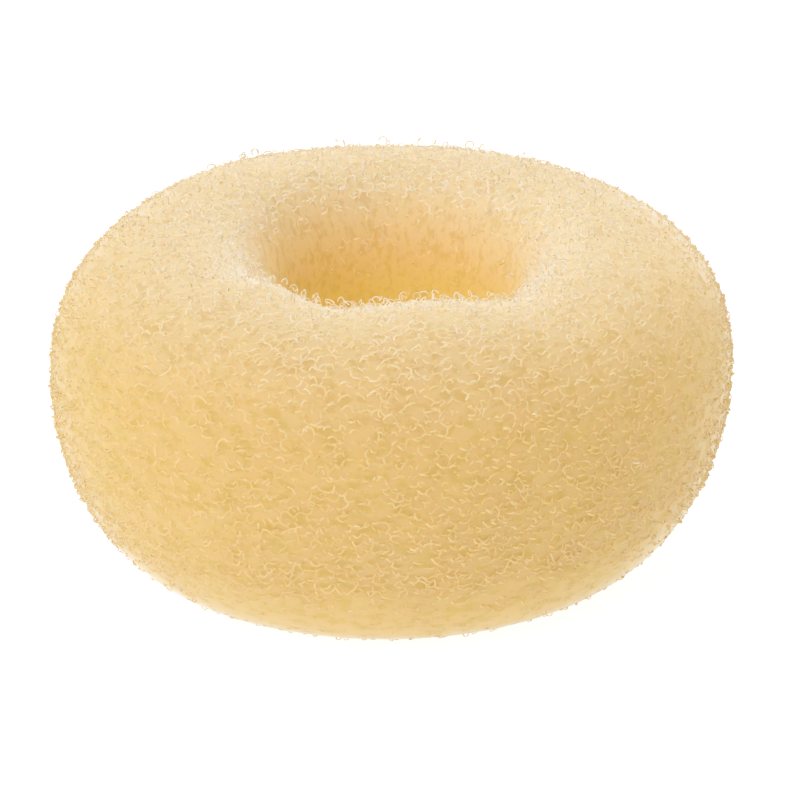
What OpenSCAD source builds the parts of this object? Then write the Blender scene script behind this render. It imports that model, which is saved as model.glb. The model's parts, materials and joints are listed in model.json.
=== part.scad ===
// Hair donut: a soft ring of wound curly nylon net, laid flat with its hole upright.
// The ring stands on Z = 0 with its axis on Z. Its front faces -Y and angles run from the front towards +X.

/* [Ring] */
// Diameter over the widest part of the ring
outer_d = 90; // [64:1:120]
// Diameter of the narrowest part of the hole
hole_d = 32; // [20:1:44]
// Height of the ring as it lies
ring_h = 42; // [32:1:56]
// Height above the table at which the ring is widest
belly_h = 22.5; // [16:0.5:30]
// Height above the table at which the hole is narrowest
throat_h = 21; // [14:0.5:28]
// Width of the flattened band that the ring rests on
foot_w = 8; // [3:0.5:12]

/* [Section] */
// Where the ring is highest, from 0 at the hole to 1 at the rim
crest_place = 0.37; // [0.3:0.01:0.6]
// Where the middle of the resting band lies, from 0 at the hole to 1 at the rim
foot_place = 0.47; // [0.4:0.01:0.6]
// Fullness of the shoulder between rim and crest, where 2 is an ellipse
shoulder_full = 2.4; // [2:0.05:3]
// Fullness of the lip between crest and hole
lip_full = 2.8; // [2:0.05:3.2]
// Fullness of the two rounded edges beside the resting band
under_full = 1.85; // [1.8:0.05:2.6]

/* [Smoothness] */
// Sections around the ring
sections = 72; // [48:4:96]
// Steps in each quarter of a section
quarter_steps = 8; // [6:1:10]

/* [Hidden] */

// How the hand-wound ring differs from a true one, as shares of its outer radius, height and hole radius.
// The rows stand at even angles from the front, turning towards +X.
ROUND_RIM = 0;
ROUND_CREST = 1;
ROUND_HOLE = 2;
round_table = [
    // rim, crest, hole
    [0.982, 1.002, 0.99],
    [0.981, 0.975, 1.02],
    [1.008, 0.996, 1.01],
    [0.997, 1.007, 1.00],
    [0.983, 0.993, 1.00],
    [0.970, 1.013, 1.00],
    [1.008, 0.999, 0.96],
    [1.024, 0.993, 1.00],
];

// Soft swells and dents. Around is the angle from the front towards +X. Across is the angle in the section,
// where 0 is the rim, 90 the crest and 180 the hole. Rise is a share of the ring's width, and the last two
// columns say how far the swell spreads each way.
DENT_AROUND = 0;
DENT_ACROSS = 1;
DENT_RISE = 2;
DENT_WIDE = 3;
DENT_LONG = 4;
dent_table = [
    // around, across, rise, wide, long
    [-42, 118, 0.030, 12, 26],
    [-20, 118, -0.028, 11, 24],
    [14, 116, 0.026, 13, 24],
    [46, 118, -0.024, 11, 24],
    [-70, 70, -0.016, 16, 30],
    [75, 60, 0.014, 18, 30],
    [128, 100, -0.018, 20, 34],
    [178, 96, 0.014, 22, 30],
    [222, 70, 0.014, 20, 34],
    [28, -10, -0.012, 20, 28],
    [-32, -16, 0.012, 22, 28],
    [150, -6, 0.012, 22, 30],
    [205, 0, -0.014, 20, 30],
];

// Share of the ring's height, from the table up, over which the swells come in
DENT_FADE = 1 / 3;

FULL_TURN = 360;
outer_r = outer_d / 2;
hole_r = hole_d / 2;
table_step = FULL_TURN / len(round_table);
section_step = FULL_TURN / sections;

// Smooth curve through four evenly spaced values, at t between the second and the third
function smooth_between(a, b, c, d, t) =
    b + t / 2 * (c - a + t * (2 * a - 5 * b + 4 * c - d + t * (3 * (b - c) + d - a)));

function table_value(row, column) = round_table[(row + len(round_table)) % len(round_table)][column];

function round_share(angle, column) =
    let(place = angle / table_step, row = floor(place))
    smooth_between(
        table_value(row - 1, column), table_value(row, column),
        table_value(row + 1, column), table_value(row + 2, column), place - row
    );

// A rounded quarter from its side point to its end point, with t from 0 to 90 degrees
function quarter_point(side, end, full, t) = [
    end.x + (side.x - end.x) * pow(cos(t), 2 / full),
    side.y + (end.y - side.y) * pow(sin(t), 2 / full)
];

function between(a, b, share) = a + (b - a) * share;

// Outline of the ring's section at one angle as [radius, height] points, in the order rim, crest, hole and
// resting band. The quarters share their end points, so each one after the first leaves those out.
function section_outline(angle) =
    let(
        rim_r = outer_r * round_share(angle, ROUND_RIM),
        crest_h = ring_h * round_share(angle, ROUND_CREST),
        throat_r = hole_r * round_share(angle, ROUND_HOLE),
        foot_r = between(throat_r, rim_r, foot_place),
        rim = [rim_r, belly_h],
        crest = [between(throat_r, rim_r, crest_place), crest_h],
        throat = [throat_r, throat_h],
        foot_in = [foot_r - foot_w / 2, 0],
        foot_out = [foot_r + foot_w / 2, 0],
        step = 90 / quarter_steps
    )
    [
        for (k = [0:quarter_steps]) quarter_point(rim, crest, shoulder_full, k * step),
        for (k = [quarter_steps - 1:-1:0]) quarter_point(throat, crest, lip_full, k * step),
        for (k = [1:quarter_steps]) quarter_point(throat, foot_in, under_full, k * step),
        for (k = [quarter_steps:-1:1]) quarter_point(rim, foot_out, under_full, k * step)
    ];

// The smaller angle between two directions, from 0 to 180 degrees
function turn_between(a, b) =
    let(turn = (a - b + 2 * FULL_TURN) % FULL_TURN)
    min(turn, FULL_TURN - turn);

function bell(distance, spread) = exp(-pow(distance / spread, 2));

// How far the surface rises at a place, in shares of the ring's width
function dent_rise(around, across) =
    let(rises = [
        for (dent = dent_table)
            dent[DENT_RISE]
            * bell(turn_between(around, dent[DENT_AROUND]), dent[DENT_WIDE])
            * bell(turn_between(across, dent[DENT_ACROSS]), dent[DENT_LONG])
    ])
    rises * [for (rise = rises) 1];

// The outline with its swells and dents. They fade out towards the table, so the resting band stays flat.
function dented_outline(angle) =
    let(
        width = outer_r - hole_r,
        middle = [(outer_r + hole_r) / 2, ring_h / 2]
    )
    [
        for (p = section_outline(angle))
            let(
                out = p - middle,
                across = atan2(out.y, out.x),
                fade = min(1, p.y / (DENT_FADE * ring_h))
            )
            p + out / norm(out) * width * fade * dent_rise(angle, across)
    ];

function placed(p, angle) = [p.x * sin(angle), -p.x * cos(angle), p.y];

module bun_ring() {
    outlines = [for (i = [0:sections - 1]) dented_outline(i * section_step)];
    across_count = len(outlines[0]);
    points = [
        for (i = [0:sections - 1])
            for (p = outlines[i]) placed(p, i * section_step)
    ];
    faces = [
        for (i = [0:sections - 1])
            for (j = [0:across_count - 1])
                let(
                    here = i * across_count,
                    next = (i + 1) % sections * across_count,
                    j2 = (j + 1) % across_count
                )
                each [[here + j, here + j2, next + j2], [here + j, next + j2, next + j]]
    ];
    color("moccasin") polyhedron(points, faces, convexity = 6);
}

bun_ring();
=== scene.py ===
# %% [markdown]
# # A hair donut wound from curly nylon net
#
# A hair donut is a soft ring that a ponytail is pulled through, so that the hair can be spread over it
# into a bun. It is a tube of net made from crimped nylon thread and rolled up on itself. This lesson
# dresses the plain solid of the ring in three steps: the dense heart of the roll, the nets of curly
# thread that lie on it, and the loose curls that stand off the lip of its hole.

import json
import math

import bpy
import numpy as np
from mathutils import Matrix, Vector
from mathutils.bvhtree import BVHTree
from mathutils.geometry import delaunay_2d_cdt

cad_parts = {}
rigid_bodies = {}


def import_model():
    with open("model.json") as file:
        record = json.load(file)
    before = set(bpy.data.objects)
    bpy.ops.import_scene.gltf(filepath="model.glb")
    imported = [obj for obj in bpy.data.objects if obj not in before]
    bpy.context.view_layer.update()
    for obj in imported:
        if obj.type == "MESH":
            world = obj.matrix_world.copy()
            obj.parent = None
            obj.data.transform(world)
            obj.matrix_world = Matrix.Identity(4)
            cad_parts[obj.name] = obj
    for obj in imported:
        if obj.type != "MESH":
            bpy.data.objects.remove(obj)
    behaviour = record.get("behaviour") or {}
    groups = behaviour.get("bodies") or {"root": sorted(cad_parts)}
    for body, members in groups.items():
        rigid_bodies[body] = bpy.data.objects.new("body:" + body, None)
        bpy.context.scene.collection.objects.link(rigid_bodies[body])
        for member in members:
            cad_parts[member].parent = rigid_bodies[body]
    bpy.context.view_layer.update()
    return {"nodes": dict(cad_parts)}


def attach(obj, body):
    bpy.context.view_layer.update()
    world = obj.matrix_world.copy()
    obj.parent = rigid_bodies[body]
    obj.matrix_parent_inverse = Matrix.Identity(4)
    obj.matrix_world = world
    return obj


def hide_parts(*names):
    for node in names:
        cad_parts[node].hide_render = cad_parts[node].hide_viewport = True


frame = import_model()
MM = 0.001

# %% [markdown]
# ## Camera
#
# The ring lies flat and is seen from its front, a little over a quarter of the way from level to straight
# down. A long lens keeps the far rim nearly as wide as the near one. The camera stands where the ring's
# outline and the lip of its hole fit best, and it aims a little below the ring's middle, so that the ring
# sits slightly high in the picture.

# %% Place the camera
CAMERA_RISE = math.radians(25.93)
CAMERA_AWAY = 315 * MM
CAMERA_AIM_HEIGHT = 22 * MM
CAMERA_DIP = math.radians(0.66)
LENS = 107.9

camera_data = bpy.data.cameras.new("camera")
camera_data.lens = LENS
camera_data.sensor_width = 36
camera_data.clip_start = 5 * MM
camera_data.clip_end = 20
camera = bpy.data.objects.new("camera", camera_data)
camera.location = (
    0,
    -CAMERA_AWAY * math.cos(CAMERA_RISE),
    CAMERA_AIM_HEIGHT + CAMERA_AWAY * math.sin(CAMERA_RISE),
)
camera.rotation_euler = (math.pi / 2 - CAMERA_RISE - CAMERA_DIP, 0, 0)
bpy.context.scene.collection.objects.link(camera)
bpy.context.scene.camera = camera
print("camera, mm:", [round(value / MM) for value in camera.location])


# %% [markdown]
# ## Colours and shader nodes
#
# Every colour is written as the sRGB hex that a paint chart would give, and one function turns it into
# the linear values that the shaders count in. One more function adds a node, sets it and links it.

# %% Turn hex colours into linear ones
def linear(hex_colour):
    shares = [int(hex_colour[i : i + 2], 16) / 255 for i in (1, 3, 5)]
    bent = [s / 12.92 if s <= 0.04045 else ((s + 0.055) / 1.055) ** 2.4 for s in shares]
    return (*bent, 1.0)


print("middle grey is", round(linear("#808080")[0], 3), "in linear light")


# %% Add a node to a material
def add_node(tree, kind, settings=(), **inputs):
    """Inputs are values or sockets, by the socket's name with _ for a space, or by _ and its number."""
    node = tree.nodes.new(kind)
    for name, value in dict(settings).items():
        setattr(node, name, value)
    for name, value in inputs.items():
        socket = node.inputs[int(name[1:])] if name[1:].isdigit() else node.inputs[name.replace("_", " ")]
        if isinstance(value, bpy.types.NodeSocket):
            tree.links.new(value, socket)
        else:
            socket.default_value = value
    return node


def new_material(name):
    material = bpy.data.materials.new(name)
    material.use_nodes = True
    material.node_tree.nodes.clear()
    return material, material.node_tree


# %% [markdown]
# ## The skin of the ring
#
# Everything that follows lies on, just under or just over the skin of the solid. So the skin is measured
# first: rays leave a circle that runs inside the ring, and each one notes how far off it meets the solid.
# The solid has flat facets, and a few rounds of averaging take them away. Turn is the angle round the
# ring from its front, and lean is the angle round its section from the rim upwards.

# %% Measure the skin with rays
TURNS = 216
LEANS = 108
HEART_RADIUS = 30.0 * MM
HEART_HEIGHT = 21.0 * MM
SOFTEN_ROUNDS = 3

turns = np.arange(TURNS) * 2 * np.pi / TURNS
leans = np.arange(LEANS) * 2 * np.pi / LEANS
turn_grid, lean_grid = np.meshgrid(turns, leans, indexing="ij")


def outward(turn):
    return np.stack([np.sin(turn), -np.cos(turn), np.zeros_like(turn)], -1)


heart_circle = outward(turn_grid) * HEART_RADIUS + [0, 0, HEART_HEIGHT]
ray_ways = outward(turn_grid) * np.cos(lean_grid)[..., None]
ray_ways[..., 2] = np.sin(lean_grid)

solid = BVHTree.FromObject(frame["nodes"]["bun_ring"], bpy.context.evaluated_depsgraph_get())
reach = np.empty((TURNS, LEANS))
for i in range(TURNS):
    for j in range(LEANS):
        _, _, _, distance = solid.ray_cast(Vector(heart_circle[i, j]), Vector(ray_ways[i, j]))
        reach[i, j] = distance
for _ in range(SOFTEN_ROUNDS):
    for axis in (0, 1):
        reach = (np.roll(reach, 1, axis) + 2 * reach + np.roll(reach, -1, axis)) / 4
print("skin is", round(reach.min() / MM, 1), "to", round(reach.max() / MM, 1), "mm from the heart circle")

# %% Work out its points, directions and stretch
skin = {"point": heart_circle + ray_ways * reach[..., None]}


def slope(table, axis):
    step = 2 * np.pi / table.shape[axis]
    return (np.roll(table, -1, axis) - np.roll(table, 1, axis)) / (2 * step)


def length(vectors):
    return np.linalg.norm(vectors, axis=-1, keepdims=True)


turn_slope = slope(skin["point"], 0)
lean_slope = slope(skin["point"], 1)
turn_stretch = length(turn_slope)
lean_stretch = length(lean_slope)
skin["along"] = turn_slope / turn_stretch
skin["across"] = lean_slope / lean_stretch
skin["normal"] = np.cross(skin["along"], skin["across"])
skin["normal"] /= length(skin["normal"])
skin_area = (turn_stretch * lean_stretch).mean() * (2 * np.pi) ** 2
print("skin area, cm2:", round(skin_area * 1e4, 1))


# %% Look a value up anywhere on the skin
def on_skin(name, turn, lean):
    table = skin[name]
    row = np.mod(turn, 2 * np.pi) * TURNS / (2 * np.pi)
    column = np.mod(lean, 2 * np.pi) * LEANS / (2 * np.pi)
    r0, c0 = np.floor(row).astype(int) % TURNS, np.floor(column).astype(int) % LEANS
    r1, c1 = (r0 + 1) % TURNS, (c0 + 1) % LEANS
    down, over = (row - np.floor(row))[..., None], (column - np.floor(column))[..., None]
    near = table[r0, c0] * (1 - over) + table[r0, c1] * over
    far = table[r1, c0] * (1 - over) + table[r1, c1] * over
    return near * (1 - down) + far * down


front_rim = on_skin("point", np.zeros(1), np.zeros(1))[0]
print("front of the rim, mm:", (front_rim / MM).round(1))


# %% Put a piece on the ring
def add_piece(name, points, faces, materials):
    mesh = bpy.data.meshes.new(name)
    mesh.from_pydata(points, [], faces)
    mesh.polygons.foreach_set("use_smooth", [True] * len(mesh.polygons))
    for material in materials:
        mesh.materials.append(material)
    piece = bpy.data.objects.new(name, mesh)
    bpy.context.scene.collection.objects.link(piece)
    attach(piece, "root")
    return piece


# %% [markdown]
# ## The heart of the roll
#
# Under the threads that show, the rolled net is so dense that single threads can't be told apart. It is
# one closed body a little inside the skin. The net is dyed a pale straw, and round the section light and
# shade are painted into its colour: the hole gets a deeper gold, as painted shade for light that has met
# many threads on its way, and the crown and lip get cream, as painted light from above where single
# threads stand out. One table holds all of that, for the heart and for the threads on it, with the share
# of threads that can be made out at each lean.

# %% Say how the net looks round its section, with its painted light and shade
ROUND_SECTION = [
    # lean in degrees, ground and threads from gold 0 to cream 1 as painted light and shade, share of threads
    # that show
    (-90, 0.36, 0.34, 0.3),
    (-45, 0.32, 0.30, 1.0),
    (15, 0.30, 0.27, 1.0),
    (40, 0.30, 0.27, 1.0),
    (60, 0.44, 0.46, 1.0),
    (85, 0.57, 0.65, 1.0),
    (105, 0.68, 0.76, 1.0),
    (118, 0.84, 0.84, 0.7),
    (130, 0.68, 0.62, 0.2),
    (142, 0.41, 0.36, 0.12),
    (155, 0.16, 0.12, 0.1),
    (170, 0.02, 0.00, 0.1),
    (200, 0.00, 0.00, 0.1),
    (240, 0.30, 0.30, 0.2),
]
# Painted light and shade: a paler crown and lip, a deeper gold in the hole.
table_leans, ground_painted_light, thread_painted_light, thread_shares = zip(*ROUND_SECTION)


def round_section(lean, values):
    return np.interp(np.degrees(lean), table_leans, values, period=360)


print("palest ground:", round_section(leans, ground_painted_light).max().round(2))

# %% [markdown]
# ## The finish of the heart
#
# Its pattern is of small hollows between threads. A noise is the quick way to them: what lies under one
# level is the floor of a hollow, what lies over another is net, and the step between the two is soft. The
# hollows are about as large as the net's cells, one and a half millimetres, and painted shade makes them a
# deeper gold and a little darker.
# They get no bump: where the ring turns away from the eye, bumps this small would catch the sheen as grey
# streaks, and the real relief comes from the threads laid on top.
#
# Nylon has an IOR of 1.53. A wound net of it is matt, so it is rough and has little gloss. Light goes some
# way into the net, as it does between clear threads, so the finish scatters it under the surface, red
# farther than blue. A sheen stands for the fuzz of thread ends, which shows as a pale haze along the
# ring's edges.

# %% Finish of the heart: dense nylon net, with painted shade in its hollows
GOLD, STRAW, CREAM = "#E6C367", "#ECC984", "#F6E1B4"
STRAW_PLACE = 0.33
HOLLOW_LEVEL, NET_LEVEL = 0.36, 0.54
# Painted shade: the hollows drop to a deeper gold and are darkened a little.
HOLLOW_DROP = 0.22
HOLLOW_SHADE = 0.96

heart_finish_with_painted_light, tree = new_material("dense_nylon_net")
place = add_node(tree, "ShaderNodeAttribute", {"attribute_name": "net_place"}).outputs["Vector"]
place_w = add_node(tree, "ShaderNodeAttribute", {"attribute_name": "net_place_w"}).outputs["Fac"]
# Painted light and shade round the section, set down to a deeper gold in the hollows.
pale = add_node(tree, "ShaderNodeAttribute", {"attribute_name": "net_pale"}).outputs["Fac"]
hills = add_node(
    tree,
    "ShaderNodeTexNoise",
    {"noise_dimensions": "4D"},
    Vector=place,
    W=place_w,
    Scale=1.0,
    Detail=3.0,
    Roughness=0.6,
).outputs["Fac"]
net = add_node(
    tree,
    "ShaderNodeMapRange",
    {"interpolation_type": "SMOOTHSTEP"},
    Value=hills,
    From_Min=HOLLOW_LEVEL,
    From_Max=NET_LEVEL,
).outputs["Result"]
tone = add_node(
    tree, "ShaderNodeMath", {"operation": "MULTIPLY_ADD"}, _0=net, _1=HOLLOW_DROP, _2=pale
).outputs["Value"]
# Dye colours from gold to cream, fed with the painted light and shade of the tone.
dye_with_painted_light = add_node(tree, "ShaderNodeValToRGB", Fac=tone)
ramp = dye_with_painted_light.color_ramp.elements
ramp[0].position, ramp[0].color = 0.0, linear(GOLD)
ramp[1].position, ramp[1].color = 1.0, linear(CREAM)
straw = ramp.new(STRAW_PLACE)
straw.color = linear(STRAW)
# Painted shade: the hollows are made a little darker.
shade = add_node(tree, "ShaderNodeMapRange", Value=net, To_Min=HOLLOW_SHADE, To_Max=1.0).outputs["Result"]
shaded = add_node(
    tree, "ShaderNodeVectorMath", {"operation": "SCALE"}, _0=dye_with_painted_light.outputs["Color"], Scale=shade
).outputs["Vector"]
shader = add_node(
    tree,
    "ShaderNodeBsdfPrincipled",
    Base_Color=shaded,
    Roughness=0.7,
    IOR=1.53,
    Specular_IOR_Level=0.2,
    Subsurface_Weight=1.0,
    Subsurface_Radius=(7.0, 6.0, 2.5),
    Subsurface_Scale=MM,
    Sheen_Weight=1.0,
    Sheen_Roughness=0.3,
)
add_node(tree, "ShaderNodeOutputMaterial", Surface=shader.outputs["BSDF"])
print(heart_finish_with_painted_light.name, "has", len(tree.nodes), "nodes")

# %% Model the heart
HEART_DEPTH = 0.45 * MM

rows, columns = np.meshgrid(np.arange(TURNS), np.arange(LEANS), indexing="ij")
corner_rows = rows[..., None] + [0, 1, 1, 0]
corner_columns = columns[..., None] + [0, 0, 1, 1]
heart_faces = corner_rows % TURNS * LEANS + corner_columns % LEANS
heart_faces = heart_faces.reshape(-1, 4).tolist()
heart_points = (skin["point"] - skin["normal"] * HEART_DEPTH).reshape(-1, 3)
heart = add_piece("net_heart", heart_points, heart_faces, [heart_finish_with_painted_light])
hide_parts("bun_ring")
print("heart faces:", len(heart.data.polygons))

# %% [markdown]
# The pattern has to close up both ways round, or a seam would show. A circle closes by itself, so a place
# on the skin gets four values: two that run round a circle with the turn, and two with the lean. Both
# circles are as large as the ring, counted in cells, so the cells keep their size. The heart is also laid
# out flat, turn by lean, as a map of its surface.

# %% Give the heart its pattern's places and its painted light and shade
ALONG_CELL, ACROSS_CELL = 1.5 * MM, 1.3 * MM
turn_circle = HEART_RADIUS / ALONG_CELL
lean_circle = reach.mean() / ACROSS_CELL
net_place = np.stack(
    [
        turn_circle * np.cos(turn_grid),
        turn_circle * np.sin(turn_grid),
        lean_circle * np.cos(lean_grid),
    ],
    -1,
)
net_place_w = lean_circle * np.sin(lean_grid)
# The painted light and shade by lean, set down to the painted shade of a hollow; the net adds it back.
heart_painted_light_and_shade = round_section(lean_grid, ground_painted_light) - HOLLOW_DROP
notes = heart.data.attributes
notes.new("net_place", "FLOAT_VECTOR", "POINT").data.foreach_set("vector", net_place.ravel())
notes.new("net_place_w", "FLOAT", "POINT").data.foreach_set("value", net_place_w.ravel())
notes.new("net_pale", "FLOAT", "POINT").data.foreach_set("value", heart_painted_light_and_shade.ravel())
flat_places = np.stack([corner_rows / TURNS, corner_columns / LEANS], -1)
heart.data.uv_layers.new(name="OFBake").data.foreach_set("uv", flat_places.ravel())
print("cells round the ring and its section:", round(turn_circle * 2 * np.pi), round(lean_circle * 2 * np.pi))

# %% [markdown]
# ## The thread
#
# The thread is nylon drawn through a die and crimped, about a quarter of a millimetre thick. Clear nylon
# takes up little dye, so single threads look paler than the heart they lie on. Six pale nylons, from straw
# to cream, give each thread one even colour. Which one follows the painted light and shade round the
# section, with painted shade on the two deeper nets and painted light on the top net and the curls, and
# neighbours differ a little at random. Drawn nylon is glossy, but the crimp spreads the gloss, so its
# roughness is middling. A sheen makes the threads pale where they turn away.

# %% Finishes of the threads: crimped nylon
def nylon_thread(name, colour):
    material, tree = new_material(name)
    shader = add_node(
        tree,
        "ShaderNodeBsdfPrincipled",
        Base_Color=linear(colour),
        Roughness=0.5,
        IOR=1.53,
        Specular_IOR_Level=0.2,
        Sheen_Weight=1.0,
        Sheen_Roughness=0.3,
        Sheen_Tint=linear("#FFEFCF"),
    )
    add_node(tree, "ShaderNodeOutputMaterial", Surface=shader.outputs["BSDF"])
    return material


NYLON = [
    nylon_thread(f"crimped_nylon_{tone}", colour)
    for tone, colour in enumerate(("#E6C370", "#EBC880", "#F1D192", "#F6DCA8", "#FAE6C0", "#FDF0D8"))
]
TONE_SPREAD = 0.07


def pick_tones(rng, lean, painted_light_by):
    """Which nylon each thread has: the painted light and shade of its place, made paler by the painted light
    of a high net or darker by the painted shade of a deep one, and strewn a little.
    """
    tones = round_section(lean, thread_painted_light) + painted_light_by + rng.normal(0, TONE_SPREAD, len(lean))
    return np.clip(np.round(tones * (len(NYLON) - 1)), 0, len(NYLON) - 1).astype(int)


print("nylons:", [material.name for material in NYLON])

# %% [markdown]
# A thread this thin is a pixel or two wide, so its section can be as plain as a tent: two feet and a ridge
# that points away from the ring. What counts is how it takes the light. The normals at its corners are
# set one by one. On top they lean out a little from the ridge to the feet, so the thread shades as a soft
# round one and not as a tent. The underside looks straight down and gets the palest nylon, as painted
# light for the light that comes through a clear thread from above. For the same reason the threads throw
# no shadow.

# %% Sweep threads along many paths at once
SIDES = 3
FOOT_TURN = 0.6


def sweep(paths, ups, width, height, tones):
    """Closed threads along paths, an array of thread, point and x, y, z, with the ridge towards ups."""
    threads, steps, _ = paths.shape
    ahead = np.gradient(paths, axis=1)
    ahead /= length(ahead)
    side = np.cross(ups, ahead)
    side /= length(side)
    up = np.cross(ahead, side)
    points = np.stack([paths + side * width / 2, paths + up * height, paths - side * width / 2], 2)

    c = np.arange(SIDES)
    c2 = (c + 1) % SIDES
    rings = np.arange(threads)[:, None, None] * steps * SIDES + np.arange(steps - 1)[:, None] * SIDES
    walls = np.stack([rings + c, rings + c2, rings + SIDES + c2, rings + SIDES + c], -1)
    tails = np.arange(threads)[:, None] * steps * SIDES + c[::-1]
    heads = np.arange(threads)[:, None] * steps * SIDES + (steps - 1) * SIDES + c
    faces = walls.reshape(-1, 4).tolist() + tails.tolist() + heads.tolist()

    rounded = np.stack([up + side * FOOT_TURN, up, up - side * FOOT_TURN], 2).reshape(-1, 3)
    down = -np.repeat(up.reshape(-1, 3), SIDES, 0)
    wall_normals = rounded[walls]
    wall_normals[:, :, -1] = down[walls[:, :, -1]]
    end_normals = np.stack([-ahead[:, 0], ahead[:, -1]])[:, :, None].repeat(SIDES, 2)
    normals = np.concatenate([wall_normals.reshape(-1, 3), end_normals.reshape(-1, 3)])
    normals /= length(normals)

    wall_tones = np.repeat(tones, (steps - 1) * SIDES).reshape(-1, SIDES)
    # Painted light: every underside gets the palest nylon.
    wall_tones[:, -1] = len(NYLON) - 1
    face_tones = np.concatenate([wall_tones.ravel(), tones, tones])
    return points.reshape(-1, 3), faces, normals, face_tones


def add_threads(name, points, faces, normals, face_tones):
    piece = add_piece(name, points, faces, NYLON)
    piece.data.polygons.foreach_set("material_index", face_tones)
    piece.data.normals_split_custom_set(normals)
    piece.visible_shadow = False
    print(name, "faces:", len(faces))


# %% [markdown]
# ## The cells of the net
#
# Seen close, the roll is a net: threads meet at crossings and close small round cells a little over a
# millimetre wide. Such a net can be grown from the middles of its cells. Darts are thrown at the skin, and
# a dart that lands too near an earlier one is left out, so the middles keep an even distance in no order.
# A look at the boxes beside a dart is enough to find its neighbours.

# %% Scatter the middles of the cells
DARTS = 60000
BESIDE = [(i, j, k) for i in (-1, 0, 1) for j in (-1, 0, 1) for k in (-1, 0, 1)]


def scatter(rng, apart):
    """Turns and leans of places on the skin that are at least that far apart."""
    turn = rng.uniform(0, 2 * np.pi, DARTS)
    lean = rng.uniform(0, 2 * np.pi, DARTS)
    points = on_skin("point", turn, lean)
    boxes = np.floor(points / apart).astype(int).tolist()
    taken = {}
    kept = []
    for dart, (box, point) in enumerate(zip(boxes, points.tolist())):
        near = [taken.get((box[0] + i, box[1] + j, box[2] + k), ()) for i, j, k in BESIDE]
        if all(math.dist(point, other) >= apart for others in near for other in others):
            taken.setdefault(tuple(box), []).append(point)
            kept.append(dart)
    return turn[kept], lean[kept]


# %% [markdown]
# Joining neighbouring middles gives a mesh of triangles, and each triangle's middle is a crossing of the
# net: a thread runs between two triangles that share a side. Triangles are found on a flat sheet, so the
# skin is unrolled first. It is cut round the ring and along it, and the step up the sheet is scaled at
# each lean so that a small circle on the skin stays a circle. Cells that lie at a cut get a copy on the
# far side of the sheet, so the net runs on over the cut.

# %% Unroll the skin so that small shapes stay as they are
climb_steps = (lean_stretch / turn_stretch).mean(0)[:, 0] * 2 * np.pi / LEANS
climb = np.concatenate([[0], np.cumsum(climb_steps)])
climb_leans = np.arange(LEANS + 1) * 2 * np.pi / LEANS
sheet = np.array([2 * np.pi, climb[-1]])
print("unrolled skin:", sheet.round(2))

# %% Join the crossings to a net
CUT_MARGIN = 0.3
SAME_PLACE = 1e-7


def net_edges(turn, lean):
    """Both ends of each thread on the sheet and the numbers of its crossings, for cells at those places."""
    flat = np.stack([turn, np.interp(lean, climb_leans, climb)], -1)
    places, owners = [], []
    for over in (-1, 0, 1):
        for up in (-1, 0, 1):
            copy = flat + sheet * [over, up]
            inside = ((copy > -CUT_MARGIN) & (copy < sheet + CUT_MARGIN)).all(1)
            places.append(copy[inside])
            owners.append(np.nonzero(inside)[0])
    places, owners = np.concatenate(places), np.concatenate(owners)

    triangles = np.array(delaunay_2d_cdt([Vector(p) for p in places], [], [], 0, SAME_PLACE)[2])
    crossings = places[triangles].mean(1)
    numbers = np.unique(np.sort(owners[triangles], 1), axis=0, return_inverse=True)[1].ravel()

    sides = np.sort(np.concatenate([triangles[:, [0, 1]], triangles[:, [1, 2]], triangles[:, [2, 0]]]), 1)
    order = np.lexsort(sides.T)
    twins = (sides[order[1:]] == sides[order[:-1]]).all(1)
    one, other = order[:-1][twins], order[1:][twins]
    middle = places[sides[one]].mean(1)
    home = ((middle >= 0) & (middle < sheet)).all(1)
    one, other = one[home] % len(triangles), other[home] % len(triangles)
    return crossings[one], crossings[other], numbers[one], numbers[other]


# %% [markdown]
# ## Lay the threads
#
# A whole net would look like foam. On the real roll most crossings lie in the dark of the heart, and what
# stands out is the part of a thread between two of them, as a short arc. The roll was wound round and
# round, so the arcs that run along the ring are pulled clear and those across it lie deep. The crossings
# are therefore sunk, each by its own amount, and each thread bows up by an amount that is larger the more
# level it runs. It bows to one side as well, which is the crimp. Under the ring the table presses all of
# them in.

# %% Lay threads between the crossings
STEPS = 4
SIDE_BOW = 0.35
LEVEL_RISE = 0.4 * MM
FLOOR_CLEARANCE = 0.12 * MM
PRESSED_IN = 0.3 * MM
PRESS_FROM, PRESS_FULL = 0.55, 0.85


def pressed_in(lean):
    """How deep the table presses threads in, from not at all at the sides to full depth underneath."""
    return PRESSED_IN * np.clip((-np.sin(lean) - PRESS_FROM) / (PRESS_FULL - PRESS_FROM), 0, 1)


def lay_threads(rng, start, stop, start_number, stop_number, sunk, rise):
    """Paths on the skin with their outward ways, each thread's lean, and how far each point stands off."""
    crossing_lifts = -rng.uniform(*sunk, max(start_number.max(), stop_number.max()) + 1)
    share = np.linspace(0, 1, STEPS)
    bow = 4 * share * (1 - share)
    way = stop - start
    sideways = way[:, ::-1] * [-1, 1] * rng.uniform(-SIDE_BOW, SIDE_BOW, (len(way), 1))
    flat = start[:, None] + way[:, None] * share[:, None] + sideways[:, None] * bow[:, None]
    turn = flat[..., 0]
    lean = np.interp(flat[..., 1] % sheet[1], climb, climb_leans)
    level = (way[:, :1] / length(way)) ** 2
    rises = rng.uniform(*rise, (len(way), 1)) + LEVEL_RISE * (level - 0.5)
    lifts = crossing_lifts[start_number][:, None] * (1 - share) + crossing_lifts[stop_number][:, None] * share
    lifts += rises * bow - pressed_in(lean)
    ups = on_skin("normal", turn, lean)
    paths = on_skin("point", turn, lean) + ups * lifts[..., None]
    paths[..., 2] = np.maximum(paths[..., 2], FLOOR_CLEARANCE)
    return paths, ups, lean[:, STEPS // 2], lifts


# %% [markdown]
# Three nets lie over one another, as the turns of the roll do. The lowest has the thickest thread and is
# the evenest, and the upper two throw higher arcs. Threads that stay under the heart's surface are left
# out. Each net becomes two pieces, so that none is too heavy to work with.

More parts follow.
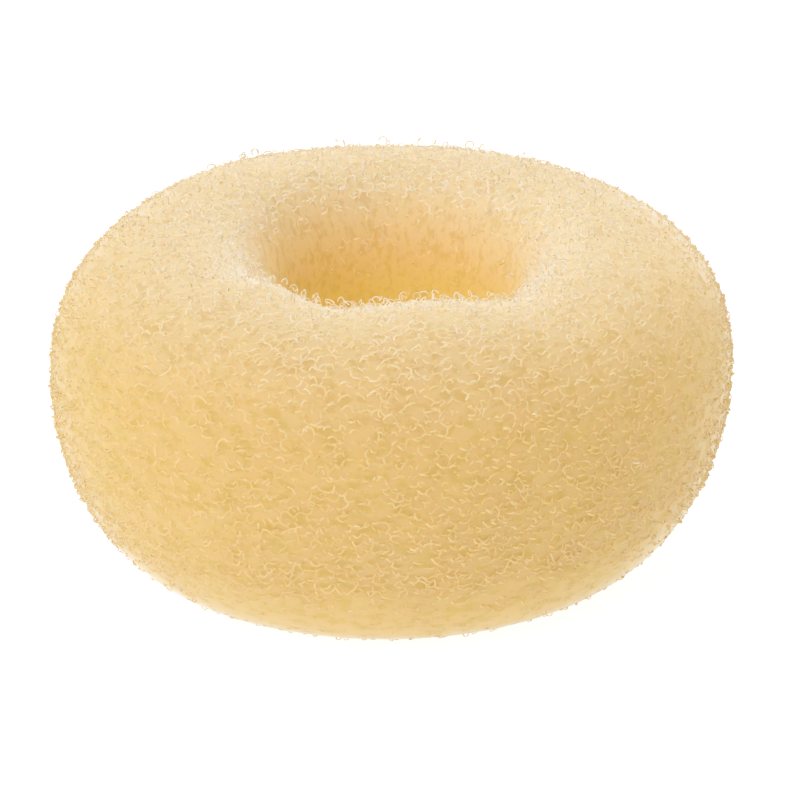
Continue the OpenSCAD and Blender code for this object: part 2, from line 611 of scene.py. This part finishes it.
# %% Lay three nets
FLATNESS = 0.35
BARELY_SUNK = 0.25
NETS = [
    # name, seed, cell, thread, crossings sunk by, threads rise by, paler by as painted light (below zero:
    # darker, as painted shade)
    ("net_lower", 1, 1.10, 0.26, (0.25, 0.75), (-0.10, 0.20), -0.05),
    ("net_upper", 2, 1.25, 0.22, (0.40, 0.90), (-0.50, 0.60), -0.02),
    ("net_top", 3, 1.25, 0.22, (0.40, 0.80), (-0.80, 0.60), 0.05),
]
for name, seed, cell, thread, sunk, rise, painted_light_by in NETS:
    rng = np.random.default_rng(seed)
    edges = net_edges(*scatter(rng, cell * MM))
    paths, ups, lean, lifts = lay_threads(rng, *edges, np.array(sunk) * MM, np.array(rise) * MM)
    clear = lifts.max(1) > -HEART_DEPTH - BARELY_SUNK * thread * MM
    seen = clear & (rng.uniform(0, 1, len(lean)) < round_section(lean, thread_shares))
    paths, ups, tones = paths[seen], ups[seen], pick_tones(rng, lean[seen], painted_light_by)
    half = len(paths) // 2
    for part, kept in (("a", slice(None, half)), ("b", slice(half, None))):
        swept = sweep(paths[kept], ups[kept], thread * MM, FLATNESS * thread * MM, tones[kept])
        add_threads(f"{name}_{part}", *swept)
    print(name, "shows", len(paths), "of", len(seen), "threads")

# %% [markdown]
# ## Loose curls
#
# On the lip of the hole the crimp throws some threads up into small open loops that stand off the roll.
# Each is most of a circle that stands on the skin, turned any way and tilted a little. Its two ends pass
# beside each other, and both go down into the net.

# %% Raise curls on the lip
CURL_SEED = 6
LIP_LEAN, LIP_SPREAD = math.radians(108), math.radians(20)
CURLS_APART = 1.5 * MM
CURL_POINTS = 9
CURL_THREAD = 0.14 * MM
CURL_FLATNESS = 0.8
CURL_RADIUS = 0.45 * MM
CURL_SIZES = (0.7, 1.3)
CURL_TILT = 0.6
CURL_OPENINGS = (0.2, 0.5)
CURL_TWIST = 0.6
CURL_LOWEST, CURL_HIGHEST = 0.1 * MM, 0.5 * MM
# Painted light: the curls that stand off the lip get paler nylon.
CURL_PAINTED_LIGHT_BY = 0.04


def raise_curls(rng, turn, lean):
    """Paths of open loops at those places, with the ways from each loop's middle."""
    curls = (len(turn), 1)
    along, across, normal = (on_skin(name, turn, lean) for name in ("along", "across", "normal"))
    heading = rng.uniform(0, 2 * np.pi, curls)
    chord = along * np.cos(heading) + across * np.sin(heading)
    tilt = rng.normal(0, CURL_TILT, curls)
    stand = normal * np.cos(tilt) + np.cross(chord, normal) * np.sin(tilt)
    size = CURL_RADIUS * rng.uniform(*CURL_SIZES, curls)
    centre = on_skin("point", turn, lean) + normal * rng.uniform(CURL_LOWEST, CURL_HIGHEST, curls)
    opening = rng.uniform(*CURL_OPENINGS, curls) * np.pi
    twist = rng.uniform(-CURL_TWIST, CURL_TWIST, curls) * size
    share = np.linspace(-1, 1, CURL_POINTS)[:, None]
    angle = share * (np.pi - opening[:, None])
    loop = size[:, None] * (np.sin(angle) * chord[:, None] + np.cos(angle) * stand[:, None])
    paths = centre[:, None] + loop + share * (twist * np.cross(chord, stand))[:, None]
    return paths, loop / length(loop)


rng = np.random.default_rng(CURL_SEED)
turn, lean = scatter(rng, CURLS_APART)
on_lip = rng.uniform(0, 1, len(lean)) < np.exp(-(((lean - LIP_LEAN) / LIP_SPREAD) ** 2))
turn, lean = turn[on_lip], lean[on_lip]
curl_tones = pick_tones(rng, lean, CURL_PAINTED_LIGHT_BY)
swept = sweep(*raise_curls(rng, turn, lean), CURL_THREAD, CURL_FLATNESS * CURL_THREAD, curl_tones)
add_threads("curls_on_lip", *swept)
print("loose curls:", len(turn))

# %% [markdown]
# ## Floor and light
#
# The ring lies on white paper in a bright, even room. The picture's ground is pure white right up to the
# ring, which paper alone doesn't give: it would take on a yellow glow from the ring. So the paper is grey
# and lit from beneath like a light table, and adds up to white. It throws less light than it shows, so
# that the belly of the ring keeps its soft shade.

# %% Floor
FLOOR_HALF = 3.0
PAPER_LIGHT_SEEN = 0.88
PAPER_LIGHT_THROWN = 0.77

floor_finish, tree = new_material("white_paper")
looked_at = add_node(tree, "ShaderNodeLightPath").outputs["Is Camera Ray"]
paper_light = add_node(
    tree, "ShaderNodeMapRange", Value=looked_at, To_Min=PAPER_LIGHT_THROWN, To_Max=PAPER_LIGHT_SEEN
).outputs["Result"]
shader = add_node(
    tree,
    "ShaderNodeBsdfPrincipled",
    Base_Color=linear("#808080"),
    Roughness=0.9,
    Specular_IOR_Level=0.1,
    Emission_Color=linear("#FFFFFF"),
    Emission_Strength=paper_light,
)
add_node(tree, "ShaderNodeOutputMaterial", Surface=shader.outputs["BSDF"])
floor_mesh = bpy.data.meshes.new("floor")
floor_corners = [(x * FLOOR_HALF, y * FLOOR_HALF, 0) for x, y in ((-1, -1), (1, -1), (1, 1), (-1, 1))]
floor_mesh.from_pydata(floor_corners, [], [(0, 1, 2, 3)])
floor_mesh.materials.append(floor_finish)
floor = bpy.data.objects.new("floor", floor_mesh)
bpy.context.scene.collection.objects.link(floor)
print("floor, m:", 2 * FLOOR_HALF, "square")

# %% [markdown]
# The room is brighter near its horizon than overhead, which makes the sides of the ring as bright as its
# crown. The camera itself sees it as plain white.

# %% Room light
HORIZON, OVERHEAD, ROOM_SEEN = 0.85, 0.66, 1.0
HORIZON_TOP, OVERHEAD_FROM = 0.2, 0.6

world = bpy.data.worlds.new("bright_room")
world.use_nodes = True
tree = world.node_tree
tree.nodes.clear()
direction = add_node(tree, "ShaderNodeTexCoord").outputs["Generated"]
height = add_node(tree, "ShaderNodeSeparateXYZ", Vector=direction).outputs["Z"]
light = add_node(
    tree,
    "ShaderNodeMapRange",
    Value=height,
    From_Min=HORIZON_TOP,
    From_Max=OVERHEAD_FROM,
    To_Min=HORIZON,
    To_Max=OVERHEAD,
).outputs["Result"]
seen_directly = add_node(tree, "ShaderNodeLightPath").outputs["Is Camera Ray"]
strength = add_node(
    tree, "ShaderNodeMapRange", Value=seen_directly, To_Min=light, To_Max=ROOM_SEEN
).outputs["Result"]
background = add_node(tree, "ShaderNodeBackground", Color=linear("#FFFFFF"), Strength=strength)
add_node(tree, "ShaderNodeOutputWorld", Surface=background.outputs["Background"])
bpy.context.scene.world = world
print("room light from", OVERHEAD, "overhead to", HORIZON, "at the horizon")

# %% [markdown]
# Four large soft lamps shape the ring: the key lamp at its front left makes that side the brighter one,
# one behind it lights the crown, and one at each side of the rear makes the edges pale. They are cool, as
# the light of a studio lamp is beside warm nylon. A small lamp on the floor of the hole stands for the
# light that comes up through the open net, and makes the hole glow. It is a little green, or the gold on
# all sides of it would turn that glow pink.

# %% Lamps
def add_soft_lamp(name, azimuth, elevation, softness, strength, colour):
    """A far lamp, by where it stands round the ring and over it, with its soft edge in degrees."""
    data = bpy.data.lights.new(name, "SUN")
    data.angle = math.radians(softness)
    data.energy = strength
    data.color = linear(colour)[:3]
    lamp = bpy.data.objects.new(name, data)
    lamp.rotation_euler = (math.radians(90 - elevation), 0, math.radians(azimuth))
    bpy.context.scene.collection.objects.link(lamp)


LAMPS = [
    # name, azimuth, elevation, softness, strength, colour
    ("key_lamp", -45, 40, 30, 1.42, "#C8DBFF"),
    ("back_lamp", 180, 35, 40, 0.6, "#E6EFFF"),
    ("left_lamp", -115, 15, 40, 0.3, "#CFE0FF"),
    ("right_lamp", 135, 20, 40, 0.9, "#CFE0FF"),
]
for lamp_row in LAMPS:
    add_soft_lamp(*lamp_row)
print("soft lamps:", len(LAMPS))

# %% Lamp in the hole
hole_light = bpy.data.lights.new("hole_light", "AREA")
hole_light.shape = "DISK"
hole_light.size = 24 * MM
hole_light.energy = 0.0037
hole_light.color = linear("#DCF8EA")[:3]
hole_lamp = bpy.data.objects.new("hole_lamp", hole_light)
hole_lamp.location = (0, 0, 0.5 * MM)
hole_lamp.rotation_euler = (math.pi, 0, 0)
hole_lamp.visible_camera = False
bpy.context.scene.collection.objects.link(hole_lamp)
bpy.context.scene.view_settings.view_transform = "Standard"
print("all lamps:", [lamp.name for lamp in bpy.data.lights])

# %% [markdown]
# ## Weight of the pieces
#
# The triangles show what each piece weighs.

# %% Count the triangles
for piece in bpy.data.objects:
    if piece.type == "MESH":
        print(piece.name, "triangles:", sum(len(face.vertices) - 2 for face in piece.data.polygons))
